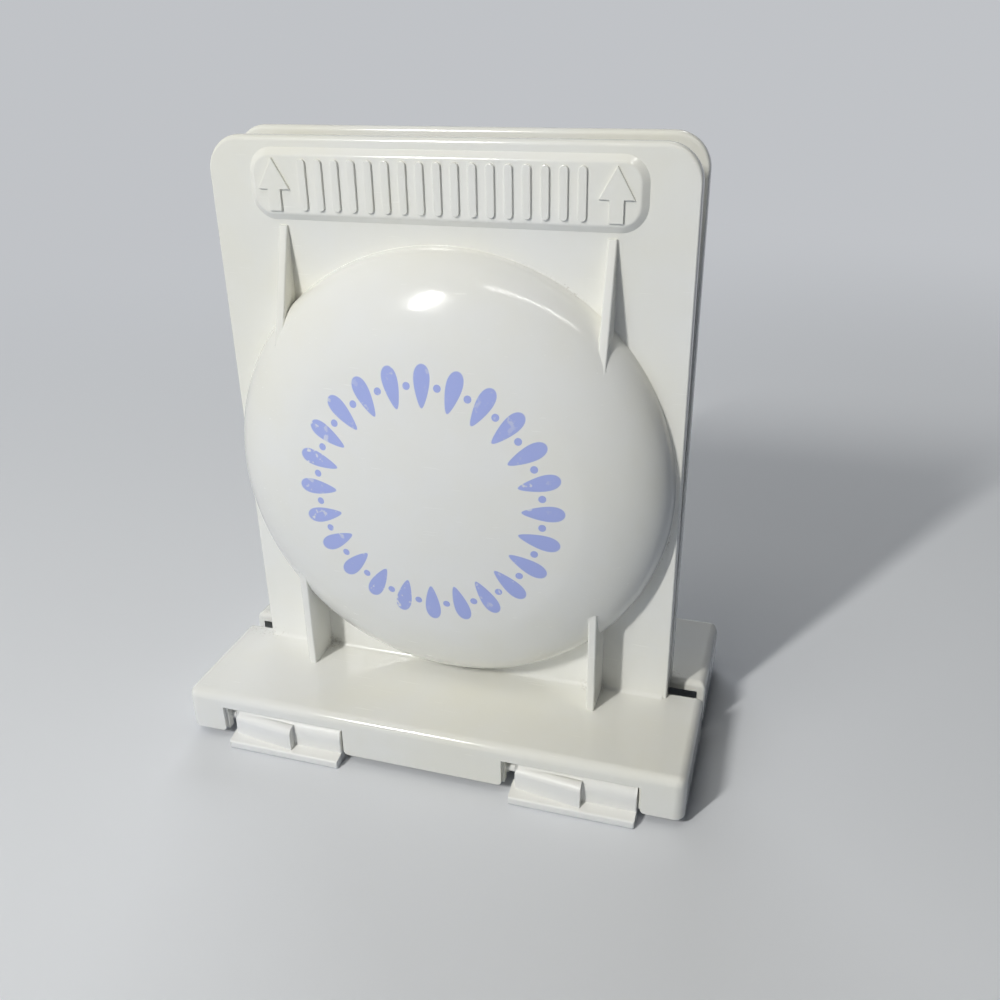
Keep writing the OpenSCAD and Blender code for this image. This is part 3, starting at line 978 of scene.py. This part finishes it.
def seed_print_group():
    tree, given, result = new_group("seed_print", (("Wear", "Float"),), (("Mask", "Float"),))
    vector = object_position(tree)
    x, y, z = parts_of(tree, vector)
    up = math_node(tree, "SUBTRACT", z, dome_z * MM)
    radius = distance(tree, x, up)
    turns = math_node(tree, "MULTIPLY", math_node(tree, "ARCTAN2", up, x), seed_count / (2 * math.pi))
    outward = math_node(tree, "SUBTRACT", radius, seed_ring_r * MM)
    pitch = 2 * math.pi * seed_ring_r / seed_count * MM

    def sideways(shift):
        share = math_node(tree, "FRACT", math_node(tree, "ADD", turns, shift))
        return math_node(tree, "MULTIPLY", math_node(tree, "SUBTRACT", share, 0.5), pitch)

    widening = math_node(tree, "MULTIPLY_ADD", outward, seed_taper / (seed_half_len * MM), 1.0)
    seed = oval(tree, outward, math_node(tree, "DIVIDE", sideways(0.5), widening), seed_half_len, seed_half_w)
    dot = oval(tree, outward, sideways(0.0), dot_r, dot_r)
    shape = math_node(tree, "MAXIMUM", seed, dot)
    flakes = ramp_between(tree, noise(tree, vector, flake_scale, 3), 0.6, 0.68)
    rubbed = ramp_between(tree, noise(tree, vector, rub_scale, 1), 0.42, 0.62)
    lost = math_node(tree, "MULTIPLY", math_node(tree, "MULTIPLY", flakes, rubbed), given["Wear"])
    connect(tree, math_node(tree, "MULTIPLY", shape, math_node(tree, "SUBTRACT", 1.0, lost)), result["Mask"])
    return tree


seed_print = seed_print_group()
print("group:", seed_print.name, len(seed_print.nodes), "nodes")

# %% [markdown]
# Each finish is one function call. The Principled shader stays in the material, and the groups feed its
# colour, its roughness and the height of one Bump node. The mouldings are glossy, the links a little
# duller, and the pins are satin.

# %% Finishes
dirt_colour = (0.34, 0.30, 0.23, 1)
print_colour = (0.37, 0.44, 0.84, 1)
print_gloss = 0.06
print_cover = 0.93
print_wear = 0.8
print_height = 0.6
dirt_amount = 0.45
dirt_dulling = 0.4
relief_depth = 0.03


def use_group(tree, group, **inputs):
    node = tree.nodes.new("ShaderNodeGroup")
    node.node_tree = group
    for name, value in inputs.items():
        connect(tree, value, node.inputs[name.replace("_", " ")])
    return node.outputs


def plastic(name, colour, roughness, ageing, scuffs, foot_height=None, printed=False):
    material = bpy.data.materials.new(name)
    material.use_nodes = True
    tree = material.node_tree
    shader = tree.nodes["Principled BSDF"]
    shader.inputs["IOR"].default_value = 1.5
    surface = use_group(tree, aged_plastic, Colour=(*colour, 1), Roughness=roughness,
                        Ageing=ageing, Scuffs=scuffs)
    colour_out, roughness_out, height = surface["Colour"], surface["Roughness"], surface["Height"]
    if foot_height is not None:
        dirt = use_group(tree, settled_dirt, Foot_height=foot_height * MM, Amount=dirt_amount)["Mask"]
        colour_out = blend(tree, dirt, colour_out, dirt_colour)
        roughness_out = math_node(tree, "MULTIPLY_ADD", dirt, dirt_dulling, roughness_out)
    if printed:
        ink = use_group(tree, seed_print, Wear=print_wear)["Mask"]
        colour_out = blend(tree, math_node(tree, "MULTIPLY", ink, print_cover), colour_out, print_colour)
        change = math_node(tree, "MULTIPLY", ink, print_gloss - roughness)
        roughness_out = math_node(tree, "MAXIMUM", math_node(tree, "ADD", roughness_out, change), 0.05)
        height = math_node(tree, "MULTIPLY_ADD", ink, print_height, height)
    bump = tree.nodes.new("ShaderNodeBump")
    bump.inputs["Strength"].default_value = 1
    bump.inputs["Distance"].default_value = relief_depth * MM
    tree.links.new(height, bump.inputs["Height"])
    tree.links.new(colour_out, shader.inputs["Base Color"])
    tree.links.new(roughness_out, shader.inputs["Roughness"])
    tree.links.new(bump.outputs["Normal"], shader.inputs["Normal"])
    print("finish:", name, len(tree.nodes), "nodes")
    return material


# %% The five finishes
ivory = (0.86, 0.86, 0.83)
gloss = 0.11
rear_foot_height = base_top + 1.3  # the lean lifts the gap side
front_plastic = plastic("front_moulding_plastic", ivory, gloss, 1.0, 1.0, foot_height=base_top)
printed_plastic = plastic("printed_crown_plastic", ivory, gloss, 1.0, 1.0, printed=True)
rear_plastic = plastic("rear_moulding_plastic", ivory, gloss, 1.0, 1.0, foot_height=rear_foot_height)
link_plastic = plastic("link_plastic", (0.86, 0.86, 0.845), 0.36, 0.6, 0.6)
pin_plastic = plastic("pin_plastic", (0.84, 0.84, 0.82), 0.42, 0.5, 0.3)

# %% [markdown]
# Finishes are now given to the pieces. The print belongs only to the outer crown of the front dome, so
# those faces are selected by their place and normal and get the second slot.

# %% Assign the finishes
front_moulding.data.materials.append(front_plastic)
front_moulding.data.materials.append(printed_plastic)
rear_moulding.data.materials.append(rear_plastic)
for name in ("left", "right"):
    bpy.data.objects[name + "_link_strap"].data.materials.append(link_plastic)
for name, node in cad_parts.items():
    if name.endswith("pin"):
        node.data.materials.clear()
        node.data.materials.append(pin_plastic)


def on_crown(centre, normal):
    r = math.hypot(centre.x, centre.z - dome_z)
    outer_face = centre.y < -plate_y - dome_rise / 2
    return normal.y < -0.9 and r < crown_r - crown_blend and outer_face


edit_faces(front_moulding, on_crown)
front_moulding.active_material_index = 1
bpy.ops.object.material_slot_assign()
leave_edit()
print("crown faces:", sum(face.material_index == 1 for face in front_moulding.data.polygons))

# %% [markdown]
# The studio is plain: a pale floor takes the shadow, and a pale world stands behind it. Both show their pale
# colour to the camera and in reflections, but throw back only a little light, because a bright floor would
# wash out the shaded sides of the white plastic. That is what the Light Path node is for.

# %% Values of the floor and the world
floor_size = 60
floor_drop = 0.0002
seen_floor = (0.80, 0.815, 0.84, 1)
grain_colour = (0.7, 0.71, 0.73, 1)
grain_share = 0.05
hidden_floor = (0.48, 0.52, 0.62, 1)
backdrop = (0.53, 0.545, 0.57, 1)
fade_start = 0.15
fade_end = 0.95
world_light = (0.86, 0.93, 1.0, 1)
world_strength = 0.05


# %% Floor
def seen_directly(tree):
    """1 for rays that show the background: from the camera, a reflection or through glass."""
    rays = tree.nodes.new("ShaderNodeLightPath").outputs
    through = math_node(tree, "MAXIMUM", rays["Is Glossy Ray"], rays["Is Transmission Ray"])
    return math_node(tree, "MAXIMUM", rays["Is Camera Ray"], through)


def floor_paper():
    """Pale paper with a little grain, which fades into the backdrop far from the holder."""
    material = bpy.data.materials.new("floor_paper")
    material.use_nodes = True
    tree = material.node_tree
    shader = tree.nodes["Principled BSDF"]
    vector = object_position(tree)
    x, y, z = parts_of(tree, vector)
    seen = seen_directly(tree)
    grain = math_node(tree, "MULTIPLY", noise(tree, vector, 900, 3), grain_share)
    seen_colour = blend(tree, grain, seen_floor, grain_colour)
    connect(tree, blend(tree, seen, hidden_floor, seen_colour), shader.inputs["Base Color"])
    shader.inputs["Roughness"].default_value = 0.8
    shader.inputs["Specular IOR Level"].default_value = 0.2
    far = math_node(tree, "MULTIPLY", ramp_between(tree, distance(tree, x, y), fade_start, fade_end), seen)
    glow = tree.nodes.new("ShaderNodeEmission")
    glow.inputs["Color"].default_value = backdrop
    mix = tree.nodes.new("ShaderNodeMixShader")
    for value, socket in zip((far, shader.outputs[0], glow.outputs[0]), mix.inputs):
        connect(tree, value, socket)
    tree.links.new(mix.outputs[0], tree.nodes["Material Output"].inputs["Surface"])
    return material


bpy.ops.object.select_all(action="DESELECT")
bpy.ops.mesh.primitive_plane_add(size=floor_size, location=(0, 0, -floor_drop))
bpy.ops.object.transform_apply(location=True, rotation=True, scale=True)
floor = bpy.context.active_object
floor.name = "floor"
floor.data.materials.append(floor_paper())
print("floor:", floor_size, "m across")

# %% World
world = bpy.data.worlds.new("studio")
bpy.context.scene.world = world
world.use_nodes = True
sky = world.node_tree
background = sky.nodes["Background"]
seen = seen_directly(sky)
connect(sky, blend(sky, seen, world_light, backdrop), background.inputs["Color"])
strength = math_node(sky, "MULTIPLY_ADD", seen, 1 - world_strength, world_strength)
connect(sky, strength, background.inputs["Strength"])
print("world strength on the object:", world_strength)

# %% [markdown]
# The key lamp stands front left, where the bright spot on the dome says it was, and its turned oval gives
# that spot its slant. Three weak broad lamps fill in from above, from low in front and from behind, and
# show in no reflection. The last two are the reverse: they light nothing and are only reflected. The long
# strip above draws the curved streak on the dome's right shoulder, and the glint behind does the same for
# the rear dome.

# %% Lamp helpers
bright_spot = Vector((0, -0.025, 0.15))
warm_white = (1.0, 0.99, 0.95)
cool_white = (0.93, 0.96, 1.0)


def direction(azimuth, elevation):
    """A unit vector towards a lamp. Azimuth 0 is in front of the holder, and + is to its right."""
    a, e = math.radians(azimuth), math.radians(elevation)
    return Vector((math.sin(a) * math.cos(e), -math.cos(a) * math.cos(e), math.sin(e)))


def lamp_data(name, size, watts, colour):
    lamp = bpy.data.lights.new(name, "AREA")
    lamp.size, lamp.size_y = size
    lamp.energy = watts
    lamp.color = colour
    return lamp


def area_lamp(name, away, toward, size, watts, colour, shape="RECTANGLE", spin=0):
    """A lamp that looks at the bright spot, from a distance in metres and a direction."""
    lamp = lamp_data(name, size, watts, colour)
    lamp.shape = shape
    holder = bpy.data.objects.new(name, lamp)
    bpy.context.scene.collection.objects.link(holder)
    place = bright_spot + toward * away
    turn = (bright_spot - place).to_track_quat("-Z", "Y").to_matrix().to_4x4()
    holder.matrix_world = Matrix.Translation(place) @ turn @ Matrix.Rotation(math.radians(spin), 4, "Z")
    return holder


# %% Key and fills
area_lamp("key", 1.3, direction(-25, 34), (0.30, 0.04), 10.2, (1.0, 0.99, 0.955), "ELLIPSE", spin=77)
top_fill = area_lamp("top_fill", 1.5, direction(-28, 68), (0.7, 0.7), 4.4, warm_white)
back_fill = area_lamp("back_fill", 1.6, direction(-155, 22), (0.9, 0.9), 9, cool_white)
low_fill = area_lamp("low_fill", 1.3, direction(-30, 6), (0.5, 0.5), 1.7, (0.86, 0.93, 1.0))
for fill in (top_fill, back_fill, low_fill):
    fill.visible_glossy = False
print("fills:", top_fill.name, back_fill.name, low_fill.name)

# %% Lamps that are only reflected
glint = area_lamp("back_glint", 1.3, direction(160, 60), (0.3, 0.12), 3, (0.97, 0.98, 1.0), "ELLIPSE")
strip_start = Vector((0.0, -0.647, 1.2))
strip_end = Vector((0.902, -0.454, 1.2))
strip_span = strip_end - strip_start
strip_turn = Matrix.Rotation(math.atan2(strip_span.y, strip_span.x), 4, "Z")
strip_size = (strip_span.length, 0.04)
strip = bpy.data.objects.new("strip", lamp_data("strip", strip_size, 2.3, (1.0, 0.99, 0.97)))
strip.data.shape = "RECTANGLE"
bpy.context.scene.collection.objects.link(strip)
strip.matrix_world = Matrix.Translation((strip_start + strip_end) / 2) @ strip_turn
for reflected in (strip, glint):
    reflected.visible_diffuse = False
bpy.context.scene.view_settings.view_transform = "Standard"
